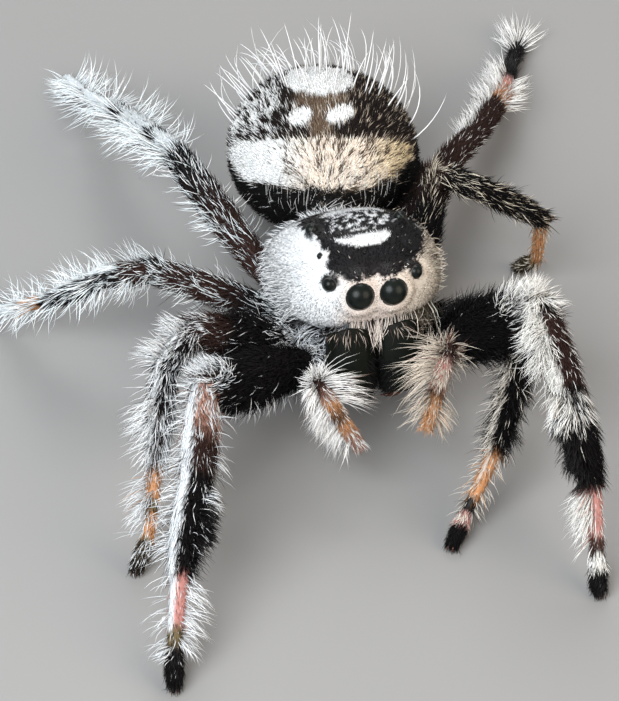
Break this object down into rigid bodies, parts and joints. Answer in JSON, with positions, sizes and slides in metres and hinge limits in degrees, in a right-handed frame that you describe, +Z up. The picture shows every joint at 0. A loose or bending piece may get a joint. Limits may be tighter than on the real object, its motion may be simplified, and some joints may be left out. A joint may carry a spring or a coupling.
{
  "type": "jumping spider",
  "caption": "Still life-size male regal jumping spider on all its feet, head raised, with a rounded furry abdomen, large forward eyes, black jaws and banded, fringed legs.",
  "frame": {"origin": "on the floor, under the middle of the whole outline, legs included", "axes": "-Y is the way the spider faces, +X is its own left side, and +Z is up"},
  "size_m": [0.0204, 0.0254, 0.0061],
  "materials": {
    "white_coat": "short soft white and black hairs lying flat",
    "dark_coat": "black skin under black and cream hairs",
    "banded_coat": "dark skin with bands of white and black hairs",
    "orange_skin": "bare orange-pink skin under long pale hairs",
    "eye_glass": "polished black",
    "jaw_shell": "satin black with a dark green cast",
    "fang_shell": "polished dark red-brown"
  },
  "bodies": {
    "root": {"abdomen": "white_coat", "carapace": "white_coat", "chelicera_left": "jaw_shell", "chelicera_right": "jaw_shell", "eye_front_middle_left": "eye_glass", "eye_front_middle_right": "eye_glass", "eye_front_side_left": "eye_glass", "eye_front_side_right": "eye_glass", "eye_rear_left": "eye_glass", "eye_rear_right": "eye_glass", "eye_small_left": "eye_glass", "eye_small_right": "eye_glass", "fang_left": "fang_shell", "fang_right": "fang_shell", "leg_1_left_femur": "dark_coat", "leg_1_left_metatarsus": "orange_skin", "leg_1_left_patella": "banded_coat", "leg_1_left_tarsus": "dark_coat", "leg_1_left_tibia": "banded_coat", "leg_1_right_femur": "dark_coat", "leg_1_right_metatarsus": "orange_skin", "leg_1_right_patella": "banded_coat", "leg_1_right_tarsus": "dark_coat", "leg_1_right_tibia": "banded_coat", "leg_2_left_femur": "dark_coat", "leg_2_left_metatarsus": "orange_skin", "leg_2_left_patella": "banded_coat", "leg_2_left_tarsus": "dark_coat", "leg_2_left_tibia": "banded_coat", "leg_2_right_femur": "dark_coat", "leg_2_right_metatarsus": "orange_skin", "leg_2_right_patella": "banded_coat", "leg_2_right_tarsus": "dark_coat", "leg_2_right_tibia": "banded_coat", "leg_3_left_femur": "dark_coat", "leg_3_left_metatarsus": "orange_skin", "leg_3_left_patella": "banded_coat", "leg_3_left_tarsus": "dark_coat", "leg_3_left_tibia": "banded_coat", "leg_3_right_femur": "dark_coat", "leg_3_right_metatarsus": "orange_skin", "leg_3_right_patella": "banded_coat", "leg_3_right_tarsus": "dark_coat", "leg_3_right_tibia": "banded_coat", "leg_4_left_femur": "dark_coat", "leg_4_left_metatarsus": "orange_skin", "leg_4_left_patella": "banded_coat", "leg_4_left_tarsus": "dark_coat", "leg_4_left_tibia": "banded_coat", "leg_4_right_femur": "dark_coat", "leg_4_right_metatarsus": "orange_skin", "leg_4_right_patella": "banded_coat", "leg_4_right_tarsus": "dark_coat", "leg_4_right_tibia": "banded_coat", "palp_left_femur": "banded_coat", "palp_left_tarsus": "orange_skin", "palp_right_femur": "banded_coat", "palp_right_tarsus": "orange_skin", "spinnerets": "dark_coat", "sternum": "dark_coat"}
  },
  "joints": []
}
